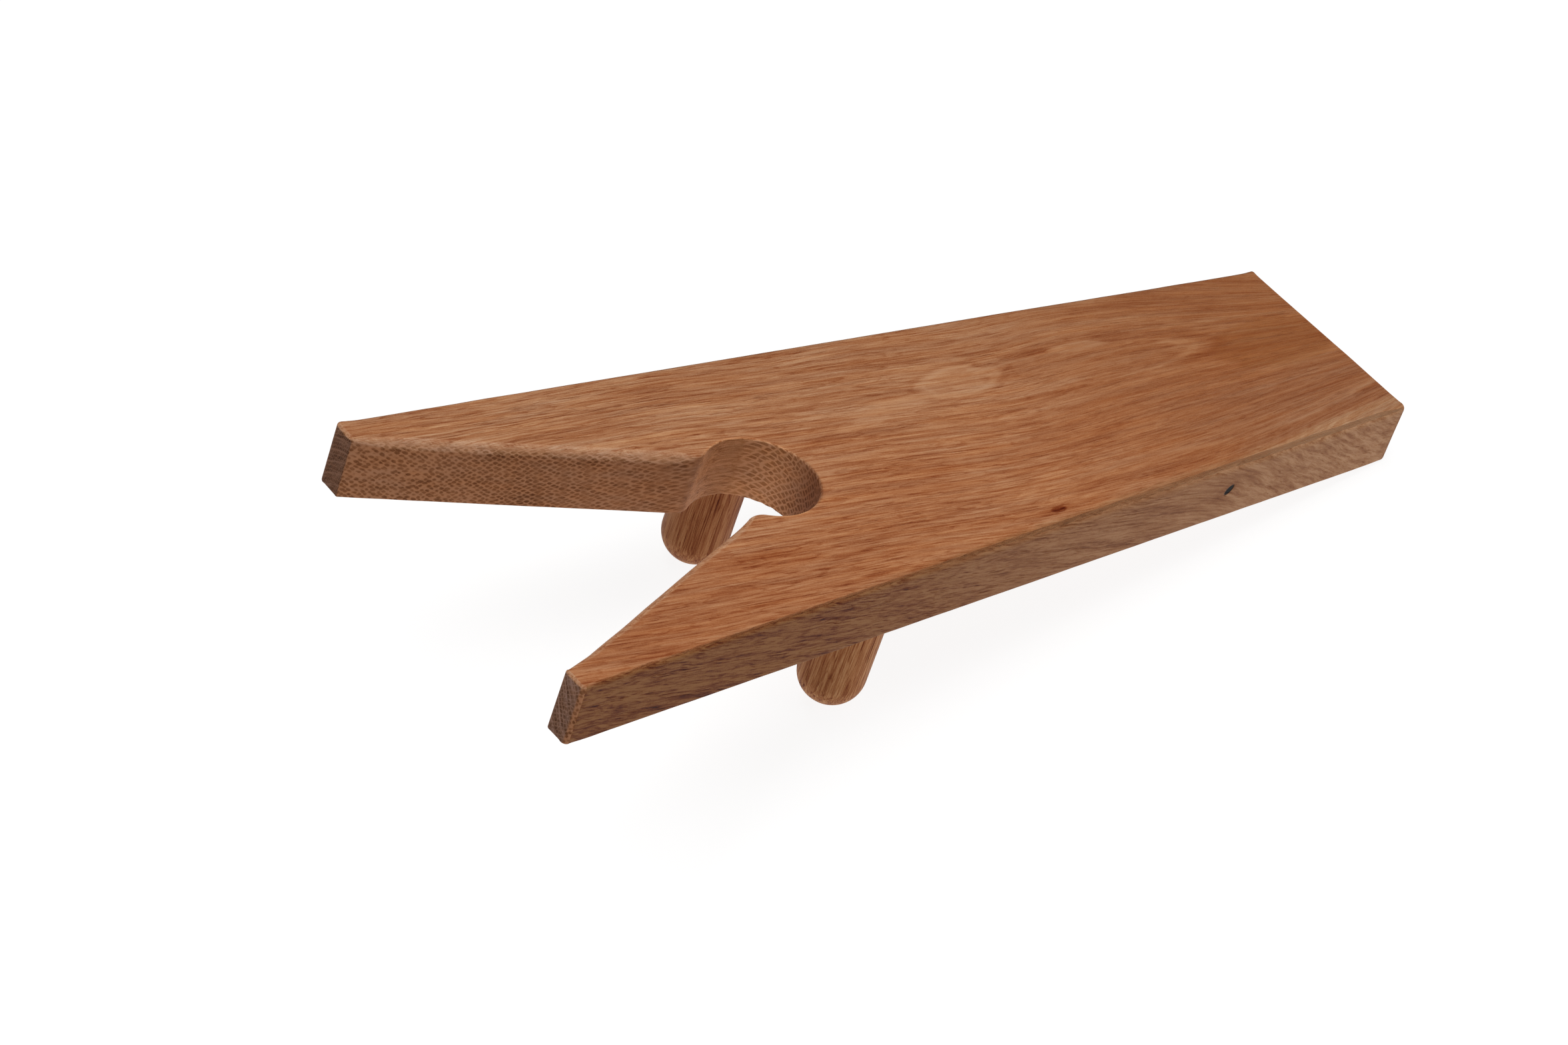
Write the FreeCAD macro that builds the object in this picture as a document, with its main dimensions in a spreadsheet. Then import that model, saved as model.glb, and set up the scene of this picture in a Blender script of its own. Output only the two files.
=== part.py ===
import FreeCAD
import Part

import math
import os

import Sketcher

# Oak boot jack: a tapered tread board on two ball-ended dowel legs.
#
# Board frame, before it is tilted: x runs from the prong tips (0) to the rear end,
# y is across, z is up from the underside.
# Part frame: z = 0 is the floor, +x points to the rear end, where the other foot
# treads, and the origin is on the floor under the middle of the part. Left and right
# are those of a person who treads on the rear end and faces the mouth: +y is right.

DIMENSIONS = [
    # alias, millimetres or degrees, meaning
    ("board_length", 350, "prong tips to rear end"),
    ("board_thickness", 21, "planed thickness"),
    ("front_width", 120.5, "across the prong tips"),
    ("rear_width", 75.5, "across the rear end"),
    ("tip_width", 9, "end face of each prong"),
    ("mouth_angle", 43, "full angle of the heel mouth"),
    ("relief_diameter", 35, "round hole at the root of the mouth"),
    ("relief_position", 110.5, "hole centre from the prong tips"),
    ("neck_round", 7, "corner between mouth and hole, in plan"),
    ("neck_angle", 8, "at which that rounding leaves the wall of the mouth"),
    ("corner_round", 1.5, "upright corners of the tips and the rear end"),
    ("top_round", 1.4, "sanded top edges, apart from the hole"),
    ("under_round", 0.8, "bottom edges, apart from the hole"),
    ("rim_round", 0.6, "top rim of the hole"),
    ("leg_diameter", 21, "dowel"),
    ("leg_position", 129.5, "leg axes from the prong tips"),
    ("leg_spacing", 67.6, "between the two leg axes"),
    ("leg_reach", 40.2, "underside to the end of the ball"),
    ("socket_depth", 13, "blind socket in the underside"),
    ("dowel_chamfer", 1, "on the glued end"),
]

# How the tilted board stands: its rear bottom edge and both ball ends touch the floor.
STANCE = [
    # name, formula, meaning
    ("foot_x", "board_length - under_round", "centre of the rear rounding, along the board"),
    ("ball_radius", "leg_diameter / 2", "end of a leg"),
    ("span", "Stance.foot_x - leg_position", "rear rounding to the leg axes"),
    ("drop", "leg_reach - Stance.ball_radius + under_round", "ball below the rear rounding"),
    ("reach", "sqrt( Stance.span ^ 2 + Stance.drop ^ 2 )", "between those two centres"),
    ("tilt", "atan( Stance.drop / Stance.span )"
             " + asin( ( Stance.ball_radius - under_round ) / Stance.reach )", "board to floor"),
    ("front_x", "under_round * ( cos( Stance.tilt ) + sin( Stance.tilt ) - 1 )",
     "foremost point, from the board's own origin"),
    ("rear_x", "( board_length - top_round ) * cos( Stance.tilt )"
               " + ( board_thickness - top_round ) * sin( Stance.tilt ) + top_round",
     "rearmost point, from the board's own origin"),
    ("board_x", "- ( Stance.front_x + Stance.rear_x ) / 2", "board's own origin"),
    ("board_z", "Stance.foot_x * sin( Stance.tilt )"
                " + under_round * ( 1 - cos( Stance.tilt ) )", "board's own origin"),
]

value = {alias: number for alias, number, meaning in DIMENSIONS}

# Sketcher's numbers for a sketch's own axes and for the points of a line or an arc.
X_AXIS, Y_AXIS = -1, -2
START, END, CENTRE = 1, 2, 3
ORIGIN = (X_AXIS, START)

doc = FreeCAD.newDocument("boot_jack")

sheet = doc.addObject("Spreadsheet::Sheet", "Dimensions")
for row, (alias, number, meaning) in enumerate(DIMENSIONS, start=1):
    sheet.set(f"A{row}", str(number))
    sheet.setAlias(f"A{row}", alias)
    sheet.set(f"B{row}", meaning)
doc.recompute()


def from_sheet(formula):
    """The formula with each alias written as a cell of the sheet."""
    return " ".join(f"{sheet.Name}.{word}" if word in value else word for word in formula.split())


stance = doc.addObject("App::VarSet", "Stance")
for name, formula, meaning in STANCE:
    kind = "App::PropertyAngle" if name == "tilt" else "App::PropertyFloat"
    stance.addProperty(kind, name, "Stance", meaning)
    stance.setExpression(name, from_sheet(formula))
    doc.recompute()


def add_body(name):
    body = doc.addObject("PartDesign::Body", name)
    body.Label = name
    return body


def add_sketch(body, name, role):
    """An empty sketch on one of the body's own origin planes."""
    plane = next(part for part in body.Origin.OriginFeatures if part.Role == role)
    sketch = body.newObject("Sketcher::SketchObject", name)
    sketch.AttachmentSupport = (plane, [""])
    sketch.MapMode = "FlatFace"
    return sketch


def line(sketch, start, end):
    return sketch.addGeometry(Part.LineSegment(FreeCAD.Vector(*start), FreeCAD.Vector(*end)))


def arc(sketch, centre, radius, start, end):
    """An arc that runs anticlockwise between two angles in degrees."""
    circle = Part.Circle(FreeCAD.Vector(*centre), FreeCAD.Vector(0, 0, 1), radius)
    return sketch.addGeometry(Part.ArcOfCircle(circle, math.radians(start), math.radians(end)))


def constrain(sketch, kind, *where):
    return sketch.addConstraint(Sketcher.Constraint(kind, *where))


def drive(sketch, kind, *where, by):
    """A dimension of the sketch that follows a formula of the sheet's aliases."""
    number = sheet.evalExpression(from_sheet(by))
    index = constrain(sketch, kind, *where, math.radians(number) if kind == "Angle" else number)
    sketch.setExpression(f"Constraints[{index}]", from_sheet(by))


def join(sketch, chain):
    """Ties the end of each line of the chain to the start of the next."""
    for this, following in zip(chain, chain[1:]):
        constrain(sketch, "Coincident", this, END, following, START)


def settled(sketch):
    doc.recompute()
    if not sketch.FullyConstrained:
        raise RuntimeError(f"{sketch.Label} has a free dimension")
    return sketch


def edges(feature, wanted):
    """Names of the feature's edges whose middle point and direction are wanted."""
    names = []
    for number, edge in enumerate(feature.Shape.Edges, start=1):
        middle = (edge.FirstParameter + edge.LastParameter) / 2
        if wanted(edge.valueAt(middle), edge.tangentAt(middle)):
            names.append(f"Edge{number}")
    return names


def round_edges(body, name, base, wanted, by):
    fillet = body.newObject("PartDesign::Fillet", name)
    fillet.Base = (base, edges(base, wanted))
    fillet.setExpression("Radius", from_sheet(by))
    doc.recompute()
    return fillet


def cut_volume(before, after, least, name):
    """Stops the macro where a pocket has cut less than it should."""
    removed = before.Shape.Volume - after.Shape.Volume
    if removed < least:
        raise RuntimeError(f"{name} removed {removed:.0f} cubic mm instead of {least:.0f}")


# ---- board -------------------------------------------------------------------------
length, thickness = value["board_length"], value["board_thickness"]
half_front, half_rear = value["front_width"] / 2, value["rear_width"] / 2
half_mouth = half_front - value["tip_width"]
hole_x, hole_r = value["relief_position"], value["relief_diameter"] / 2
half_root = half_mouth - hole_x * math.tan(math.radians(value["mouth_angle"] / 2))

board = add_body("board")

# Plan outline with the straight-sided mouth, which ends at the hole's centre line.
outline = add_sketch(board, "outline", "XY_Plane")
corners = [(length, -half_rear), (length, half_rear), (0, half_front), (0, half_mouth),
           (hole_x, half_root), (hole_x, -half_root), (0, -half_mouth), (0, -half_front)]
rear, right_side, right_tip, right_wall, root, left_wall, left_tip, left_side = (
    line(outline, start, end) for start, end in zip(corners, corners[1:] + corners[:1]))
join(outline, [rear, right_side, right_tip, right_wall, root, left_wall, left_tip, left_side, rear])
for one, other in ((rear, rear), (right_side, left_tip), (right_tip, left_wall), (root, root)):
    start = START if one == other else END
    constrain(outline, "Symmetric", one, start, other, END, X_AXIS)
for tip_end in (right_side, right_tip):
    constrain(outline, "PointOnObject", tip_end, END, Y_AXIS)
drive(outline, "DistanceX", *ORIGIN, rear, START, by="board_length")
drive(outline, "DistanceX", *ORIGIN, root, START, by="relief_position")
drive(outline, "DistanceY", rear, START, rear, END, by="rear_width")
drive(outline, "DistanceY", left_tip, END, right_tip, START, by="front_width")
drive(outline, "DistanceY", right_tip, END, right_tip, START, by="tip_width")
drive(outline, "Angle", right_wall, by="- mouth_angle / 2")

blank = board.newObject("PartDesign::Pad", "blank")
blank.Profile = settled(outline)
blank.setExpression("Length", from_sheet("board_thickness"))
doc.recompute()


def is_upright_corner(point, direction):
    return abs(direction.z) > 0.9 and min(point.x, length - point.x) < 1


def is_around(height):
    """The blank's edges at one height, without the root, which the hole takes away."""
    return lambda point, direction: (
        abs(point.z - height) < 0.01 and (abs(point.x - hole_x) > 0.01 or abs(point.y) > half_root))


rounded = round_edges(board, "round_corners", blank, is_upright_corner, by="corner_round")
rounded = round_edges(board, "round_top", rounded, is_around(thickness), by="top_round")
rounded = round_edges(board, "round_bottom", rounded, is_around(0), by="under_round")

# Relief hole, drilled after the edges were sanded, with its neck blended into the walls.
relief = add_sketch(board, "relief", "XY_Plane")
half_angle = value["mouth_angle"] / 2
blend = value["neck_round"]
neck = (97, 20.5)  # rough centre of the right blend: the constraints move it home
wall = line(relief, (0, half_mouth), (hole_x, half_root))
relief.setConstruction(wall, True)
right_neck = arc(relief, neck, blend, -90 - half_angle, -57)
hole = arc(relief, (hole_x, 0), hole_r, -123, 123)
left_neck = arc(relief, (neck[0], -neck[1]), blend, 57, 90 + half_angle)
across = line(relief, (94.5, 14), (94.5, -14))
constrain(relief, "PointOnObject", wall, START, Y_AXIS)
drive(relief, "DistanceY", *ORIGIN, wall, START, by="front_width / 2 - tip_width")
drive(relief, "DistanceX", *ORIGIN, wall, END, by="relief_position")
drive(relief, "Angle", wall, by="- mouth_angle / 2")
constrain(relief, "PointOnObject", hole, CENTRE, X_AXIS)
drive(relief, "DistanceX", *ORIGIN, hole, CENTRE, by="relief_position")
drive(relief, "Diameter", hole, by="relief_diameter")
drive(relief, "Radius", right_neck, by="neck_round")
constrain(relief, "Equal", right_neck, left_neck)
constrain(relief, "PointOnObject", right_neck, START, wall)
drive(relief, "Distance", right_neck, CENTRE, wall, by="neck_round * cos( neck_angle )")
constrain(relief, "Tangent", right_neck, END, hole, END)
constrain(relief, "Tangent", hole, START, left_neck, START)
constrain(relief, "Symmetric", right_neck, START, left_neck, END, X_AXIS)
constrain(relief, "Coincident", right_neck, START, across, START)
constrain(relief, "Coincident", left_neck, END, across, END)

relief_hole = board.newObject("PartDesign::Pocket", "relief_hole")
relief_hole.Profile = settled(relief)
relief_hole.Type = "ThroughAll"
relief_hole.Reversed = True
doc.recompute()
cut_volume(rounded, relief_hole, 0.6 * math.pi * hole_r ** 2 * thickness, "the relief hole")


def is_rim(point, direction):
    """The hole's circle on the top face, whose middle point is its rearmost."""
    return abs(point.z - thickness) < 0.01 and abs(point.x - hole_x - hole_r) < 0.01


rounded = round_edges(board, "round_rim", relief_hole, is_rim, by="rim_round")

# Blind sockets for the legs.
socket_plan = add_sketch(board, "socket_plan", "XY_Plane")
for side in (1, -1):
    circle = Part.Circle(FreeCAD.Vector(value["leg_position"], side * value["leg_spacing"] / 2),
                         FreeCAD.Vector(0, 0, 1), value["leg_diameter"] / 2)
    drive(socket_plan, "Diameter", socket_plan.addGeometry(circle), by="leg_diameter")
right_ring, left_ring = 0, 1
drive(socket_plan, "DistanceX", *ORIGIN, right_ring, CENTRE, by="leg_position")
drive(socket_plan, "DistanceY", left_ring, CENTRE, right_ring, CENTRE, by="leg_spacing")
constrain(socket_plan, "Symmetric", right_ring, CENTRE, left_ring, CENTRE, X_AXIS)

sockets = board.newObject("PartDesign::Pocket", "sockets")
sockets.Profile = settled(socket_plan)
sockets.setExpression("Length", from_sheet("socket_depth"))
sockets.Reversed = True
doc.recompute()
socket_volume = math.pi * (value["leg_diameter"] / 2) ** 2 * value["socket_depth"]
cut_volume(rounded, sockets, 1.99 * socket_volume, "the pair of sockets")

# ---- legs --------------------------------------------------------------------------
# Each leg's own frame: z along the dowel, 0 at the board's underside.


def add_leg(name):
    """A dowel turned from half its profile: ball end, shank and chamfered glued end."""
    leg = add_body(name)
    profile = add_sketch(leg, f"{name}_profile", "XZ_Plane")
    radius, top = value["leg_diameter"] / 2, value["socket_depth"]
    edge = value["dowel_chamfer"]
    ball_z = radius - value["leg_reach"]
    ball = arc(profile, (0, ball_z), radius, -90, 0)
    path = [(radius, ball_z), (radius, top - edge), (radius - edge, top), (0, top),
            (0, -value["leg_reach"])]
    shank, chamfer, end_face, axis = (line(profile, *pair) for pair in zip(path, path[1:]))
    constrain(profile, "Tangent", ball, END, shank, START)
    join(profile, [shank, chamfer, end_face, axis])
    constrain(profile, "Coincident", axis, END, ball, START)
    for on_axis in ((axis, START), (axis, END), (ball, CENTRE)):
        constrain(profile, "PointOnObject", *on_axis, Y_AXIS)
    constrain(profile, "Vertical", shank)
    constrain(profile, "Horizontal", end_face)
    drive(profile, "Radius", ball, by="leg_diameter / 2")
    drive(profile, "DistanceY", axis, END, *ORIGIN, by="leg_reach")
    drive(profile, "DistanceY", *ORIGIN, axis, START, by="socket_depth")
    drive(profile, "DistanceX", chamfer, END, chamfer, START, by="dowel_chamfer")
    drive(profile, "DistanceY", chamfer, START, chamfer, END, by="dowel_chamfer")
    turned = leg.newObject("PartDesign::Revolution", f"{name}_turned")
    turned.Profile = settled(profile)
    turned.ReferenceAxis = (profile, ["V_Axis"])
    turned.Angle = 360
    doc.recompute()
    return leg


leg_right = add_leg("leg_right")
leg_left = add_leg("leg_left")


def stand(body, along, across):
    """Tilts a body with the board, its origin at a point of the board's underside."""
    body.Placement = FreeCAD.Placement(FreeCAD.Vector(), FreeCAD.Rotation(FreeCAD.Vector(0, 1, 0), 1))
    body.setExpression("Placement.Base.x",
                       from_sheet(f"Stance.board_x + {along} * cos( Stance.tilt )"))
    body.setExpression("Placement.Base.y", from_sheet(across))
    body.setExpression("Placement.Base.z",
                       from_sheet(f"Stance.board_z - {along} * sin( Stance.tilt )"))
    body.setExpression("Placement.Rotation.Angle", "Stance.tilt")


stand(board, along="0", across="0")
stand(leg_right, along="leg_position", across="leg_spacing / 2")
stand(leg_left, along="leg_position", across="- leg_spacing / 2")
doc.recompute()

# ---- checks and files --------------------------------------------------------------
for item in doc.Objects:
    if {"Invalid", "Error"} & set(item.State):
        raise RuntimeError(f"{item.Label} is {item.State}")

os.makedirs("parts", exist_ok=True)
for body in (board, leg_right, leg_left):
    if body.Shape.isNull() or not body.Shape.isValid() or len(body.Shape.Solids) != 1:
        raise RuntimeError(f"{body.Label} is not one valid solid")
    body.Shape.exportStep(f"parts/{body.Label}.step")
    box = body.Shape.BoundBox
    print(f"{body.Label}: {body.Shape.Volume / 1000:.1f} cubic cm,"
          f" x {box.XMin:.2f} to {box.XMax:.2f}, y {box.YMin:.2f} to {box.YMax:.2f},"
          f" z {box.ZMin:.2f} to {box.ZMax:.2f}")
print(f"board tilt {stance.tilt.Value:.3f} degrees")
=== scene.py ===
"""Oak boot jack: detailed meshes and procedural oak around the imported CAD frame.

Lengths are in millimetres in the board's own frame until PLACE puts them in the CAD's, which
is in metres with z = 0 at the floor. In the board's frame x runs from the prong tips to the
rear end, y is across, positive on the far side, and z is up from the underside.
"""
import math

import bpy
from mathutils import Matrix, Vector, geometry, noise


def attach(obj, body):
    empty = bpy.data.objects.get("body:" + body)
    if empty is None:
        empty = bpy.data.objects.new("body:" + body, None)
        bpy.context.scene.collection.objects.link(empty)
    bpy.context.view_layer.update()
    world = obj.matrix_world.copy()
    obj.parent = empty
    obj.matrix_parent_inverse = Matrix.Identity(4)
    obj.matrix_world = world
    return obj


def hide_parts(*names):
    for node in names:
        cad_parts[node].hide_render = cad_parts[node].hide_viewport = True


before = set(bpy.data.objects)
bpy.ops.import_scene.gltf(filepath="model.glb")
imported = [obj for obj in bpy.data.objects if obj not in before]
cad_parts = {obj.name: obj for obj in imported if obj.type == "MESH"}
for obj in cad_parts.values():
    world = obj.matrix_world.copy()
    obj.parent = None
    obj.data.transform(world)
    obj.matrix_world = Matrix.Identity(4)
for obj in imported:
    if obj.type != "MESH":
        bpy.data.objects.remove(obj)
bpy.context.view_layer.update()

MM = 0.001

# The CAD's dimensions.
LENGTH = 350.0
THICKNESS = 21.0
FRONT_WIDTH = 120.5
REAR_WIDTH = 75.5
TIP_WIDTH = 9.0
MOUTH_ANGLE = math.radians(43.0)
HOLE_RADIUS = 17.5
HOLE_X = 110.5
NECK_ROUND = 7.0
UNDER_ROUND = 0.8
TOP_ROUND = 1.4
LEG_RADIUS = 10.5
LEG_X = 129.5
LEG_Y = 33.8
LEG_REACH = 40.2
SOCKET_DEPTH = 13.0

# Radii of the visible board's corners in plan. The CAD's are all 1.5.
TIP_INNER_CORNER = 1.0
TIP_OUTER_CORNER = 1.9
REAR_NEAR_CORNER = 3.2
REAR_FAR_CORNER = 1.3

# Distances between the samples of the outline.
CORNER_STEP = 0.3
NECK_STEP = 0.5
HOLE_STEP = 0.6
TIP_STEP = 0.7
WALL_STEP = 0.8
SIDE_STEP = 1.0


def stance():
    """Tilt of the board on its legs, and its origin's x and z in the CAD's frame."""
    foot = LENGTH - UNDER_ROUND
    span = foot - LEG_X
    drop = LEG_REACH - LEG_RADIUS + UNDER_ROUND
    tilt = math.atan(drop / span) + math.asin((LEG_RADIUS - UNDER_ROUND) / math.hypot(span, drop))
    front = UNDER_ROUND * (math.cos(tilt) + math.sin(tilt) - 1)
    rear = ((LENGTH - TOP_ROUND) * math.cos(tilt) + (THICKNESS - TOP_ROUND) * math.sin(tilt)
            + TOP_ROUND)
    return (tilt, -(front + rear) / 2,
            foot * math.sin(tilt) + UNDER_ROUND * (1 - math.cos(tilt)))


TILT, BOARD_X, BOARD_Z = stance()
PLACE = (Matrix.Translation(Vector((BOARD_X, 0.0, BOARD_Z)) * MM)
         @ Matrix.Rotation(TILT, 4, "Y") @ Matrix.Scale(MM, 4))


# --------------------------------------------------------------------------- outline

class Sample:
    """A point of the board's plan, its outward normal and the easing of its two edges."""

    def __init__(self, x, y, nx, ny, kind, along):
        self.x, self.y, self.nx, self.ny = x, y, nx, ny
        self.kind, self.along = kind, along
        self.top = self.under = 0.0


def sample_line(start, end, kind, step):
    dx, dy = end[0] - start[0], end[1] - start[1]
    size = math.hypot(dx, dy)
    count = max(2, round(size / step))
    return [Sample(start[0] + dx * i / count, start[1] + dy * i / count,
                   dy / size, -dx / size, kind, i / count) for i in range(count)]


def sample_arc(centre, radius, start, end, kind, step):
    """Anticlockwise arcs bulge outwards, clockwise ones are hollows."""
    sign = 1 if end > start else -1
    count = max(5, round(abs(end - start) * radius / step))
    samples = []
    for i in range(count):
        angle = start + (end - start) * i / count
        c, s = math.cos(angle), math.sin(angle)
        samples.append(Sample(centre[0] + radius * c, centre[1] + radius * s,
                              sign * c, sign * s, kind, i / count))
    return samples


def board_outline():
    """Samples of the plan, anticlockwise from above."""
    half_front, half_rear = FRONT_WIDTH / 2, REAR_WIDTH / 2
    half_mouth = half_front - TIP_WIDTH
    slope = MOUTH_ANGLE / 2
    side = math.atan((half_front - half_rear) / LENGTH)

    # The neck's circle touches the wall of the mouth and the hole from outside.
    ux, uy = math.cos(slope), -math.sin(slope)
    px, py = -NECK_ROUND * uy, half_mouth + NECK_ROUND * ux
    bx, by = px - HOLE_X, py
    b = bx * ux + by * uy
    c = bx * bx + by * by - (HOLE_RADIUS + NECK_ROUND) ** 2
    reach = -b - math.sqrt(b * b - c)
    neck = (px + reach * ux, py + reach * uy)
    neck_start = -math.pi / 2 - slope
    neck_end = math.atan2(-neck[1], HOLE_X - neck[0])
    wall_end = (neck[0] + NECK_ROUND * math.cos(neck_start),
                neck[1] + NECK_ROUND * math.sin(neck_start))
    hole_start = math.atan2(neck[1], neck[0] - HOLE_X)

    def corner(point, before, after, radius, kind):
        """Rounds a convex corner between two headings; gives its arc and both ends."""
        turn = (after - before) % (2 * math.pi)
        back = radius * math.tan(turn / 2)
        start = (point[0] - back * math.cos(before), point[1] - back * math.sin(before))
        end = (point[0] + back * math.cos(after), point[1] + back * math.sin(after))
        centre = (start[0] - radius * math.sin(before), start[1] + radius * math.cos(before))
        arc = sample_arc(centre, radius, before - math.pi / 2, before - math.pi / 2 + turn,
                         kind, CORNER_STEP)
        return start, arc, end

    near_tip_in = corner((0, -half_mouth), math.pi - slope, -math.pi / 2,
                         TIP_INNER_CORNER, "tip_corner")
    near_tip_out = corner((0, -half_front), -math.pi / 2, side,
                          TIP_OUTER_CORNER, "tip_corner")
    rear_near = corner((LENGTH, -half_rear), side, math.pi / 2,
                       REAR_NEAR_CORNER, "rear_corner")
    rear_far = corner((LENGTH, half_rear), math.pi / 2, math.pi - side,
                      REAR_FAR_CORNER, "rear_corner")
    far_tip_out = corner((0, half_front), math.pi - side, 3 * math.pi / 2,
                         TIP_OUTER_CORNER, "tip_corner")
    far_tip_in = corner((0, half_mouth), 3 * math.pi / 2, 2 * math.pi - slope,
                        TIP_INNER_CORNER, "tip_corner")

    return (near_tip_out[1]
            + sample_line(near_tip_out[2], rear_near[0], "side", SIDE_STEP)
            + rear_near[1]
            + sample_line(rear_near[2], rear_far[0], "rear", SIDE_STEP)
            + rear_far[1]
            + sample_line(rear_far[2], far_tip_out[0], "side", SIDE_STEP)
            + far_tip_out[1]
            + sample_line(far_tip_out[2], far_tip_in[0], "tip", TIP_STEP)
            + far_tip_in[1]
            + sample_line(far_tip_in[2], wall_end, "wall", WALL_STEP)
            + sample_arc(neck, NECK_ROUND, neck_start, neck_end, "neck", NECK_STEP)
            + sample_arc((HOLE_X, 0), HOLE_RADIUS, hole_start, -hole_start, "hole", HOLE_STEP)
            + sample_arc((neck[0], -neck[1]), NECK_ROUND, -neck_end, -neck_start, "neck",
                         NECK_STEP)
            + sample_line((wall_end[0], -wall_end[1]), near_tip_in[0], "wall", WALL_STEP)
            + near_tip_in[1]
            + sample_line(near_tip_in[2], near_tip_out[0], "tip", TIP_STEP))


def wobble(x, y, z, size, seed):
    """Smooth noise from -1 to 1 with features of about that size."""
    return noise.noise(Vector((x / size + seed, y / size - seed, z / size + 3.1 * seed)))


# Radii that the edges are eased with: at the top, underneath.
EASING = {
    "side": (1.9, 0.85), "rear": (1.5, 0.8), "tip": (1.1, 1.0), "tip_corner": (0.95, 1.3),
    "rear_corner": (1.45, 1.3), "wall": (3.1, 0.8), "neck": (1.0, 0.5), "hole": (0.55, 0.4),
}
BLEND_REACH, BLEND_WIDTH = 9.0, 4.0

# The most that they may be at a corner, how fast that grows away from it, and how far it counts.
CORNER_LIMIT = {"tip_corner": 0.95, "rear_corner": 1.2}
CORNER_RELIEF = 0.2
CORNER_REACH = 12.0

# How much they vary, and how deep the hole's lower rim is torn.
TOP_VARIES, UNDER_VARIES = 0.10, 0.15
TEAR_DEPTH = 0.9

# The near edge is worn rounder by this much, from one x to another.
NEAR_EDGE_EXTRA = 0.9
NEAR_EDGE_FROM, NEAR_EDGE_TO = 120.0, 210.0


def ease_edges(samples):
    """Sets the easing radii, blended along the outline as a sanding block leaves them."""
    count = len(samples)
    steps = [math.dist((s.x, s.y), (samples[(i + 1) % count].x, samples[(i + 1) % count].y))
             for i, s in enumerate(samples)]

    def walk(start, reach):
        """Indices both ways from a sample, with how far along the outline each one is."""
        for sign in (-1, 1):
            j, away = start, 0.0
            while away < reach:
                yield j, away
                away += steps[j if sign > 0 else j - 1]
                j = (j + sign) % count

    def radius(sample, index):
        wear = 0.0
        if index == 0 and sample.kind == "side" and sample.y < 0:
            share = (sample.x - NEAR_EDGE_FROM) / (NEAR_EDGE_TO - NEAR_EDGE_FROM)
            wear = NEAR_EDGE_EXTRA * min(1.0, max(0.0, share))
        return EASING[sample.kind][index] + wear

    for index, edge in enumerate(("top", "under")):
        values = [radius(s, index) for s in samples]
        for i, s in enumerate(samples):
            total = weight = 0.0
            for j, away in walk(i, BLEND_REACH):
                w = math.exp(-(away / BLEND_WIDTH) ** 2)
                total += w * values[j]
                weight += w
            setattr(s, edge, total / weight)
    # Near a sharp corner the radius can't exceed the corner's own.
    for i in [i for i, s in enumerate(samples) if s.kind in CORNER_LIMIT]:
        limit = CORNER_LIMIT[samples[i].kind]
        for j, away in walk(i, CORNER_REACH):
            cap = limit + CORNER_RELIEF * away
            samples[j].top = min(samples[j].top, cap)
            samples[j].under = min(samples[j].under, cap)
    for s in samples:
        if s.kind == "hole":
            # The bit broke out of the underside: small notches in the rim.
            tear = max(0.0, wobble(s.x, s.y, 0, 2.6, 11.0) + 0.15)
            s.under += TEAR_DEPTH * tear * min(1.0, 6 * s.along, 6 * (1 - s.along))
        s.top *= 1 + TOP_VARIES * wobble(s.x, s.y, 0, 14, 5.0)
        s.under *= 1 + UNDER_VARIES * wobble(s.x, s.y, 0, 9, 7.0)
        if s.kind in CORNER_LIMIT:
            s.top = min(s.top, CORNER_LIMIT[s.kind])
            s.under = min(s.under, CORNER_LIMIT[s.kind])


def inset_ring(samples, edge):
    """The outline moved in by an edge's radius."""
    return [(s.x - s.nx * getattr(s, edge), s.y - s.ny * getattr(s, edge)) for s in samples]


# ----------------------------------------------------------------------- board mesh

TOP_EASING_STEPS = 7
UNDER_EASING_STEPS = 5
WALL_ROWS = 18
TOP_SPACING = 1.9
UNDER_SPACING = 2.6
SOCKET_GAP = 0.12
SOCKET_CHAMFER = 0.25
SOCKET_SIDES = 72
PIN_KNOT = (193.0, -41.6)
KNOT_PATCH = (4.5, 2.4, 0.45)    # half its length and width, and the mesh's spacing in it

# How deep the sander went: on average, in broad waves and in small ones.
SANDED, BROAD_WAVES, SMALL_WAVES = 0.055, 0.075, 0.02
KNOT_DENT, DENT_LENGTH, DENT_WIDTH = 0.22, 2.4, 0.9
TIP_WEAR, TIP_WEAR_REACH = 0.10, 5.0


def sanded(point, normal):
    """Moves a point in by the little that a hand sander takes off unevenly."""
    x, y, z = point
    depth = (SANDED + BROAD_WAVES * wobble(x * 0.35, y, z, 22, 2.0)
             + SMALL_WAVES * wobble(x * 0.4, y, z, 6, 9.0))
    if z > THICKNESS - 0.5:
        dx, dy = (x - PIN_KNOT[0]) / DENT_LENGTH, (y - PIN_KNOT[1]) / DENT_WIDTH
        depth += KNOT_DENT * math.exp(-(dx * dx + dy * dy))
        depth += TIP_WEAR * math.exp(-x / TIP_WEAR_REACH)
    depth = max(0.0, depth)
    return (x - normal[0] * depth, y - normal[1] * depth, z - normal[2] * depth)


CELL = 4.0               # size of the buckets in which fill() looks for near points
ROW_PITCH = 0.87         # distance between the rows of a grid of triangles
CLEARANCE = 0.62         # how near a grid point may come to another, in spacings


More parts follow.
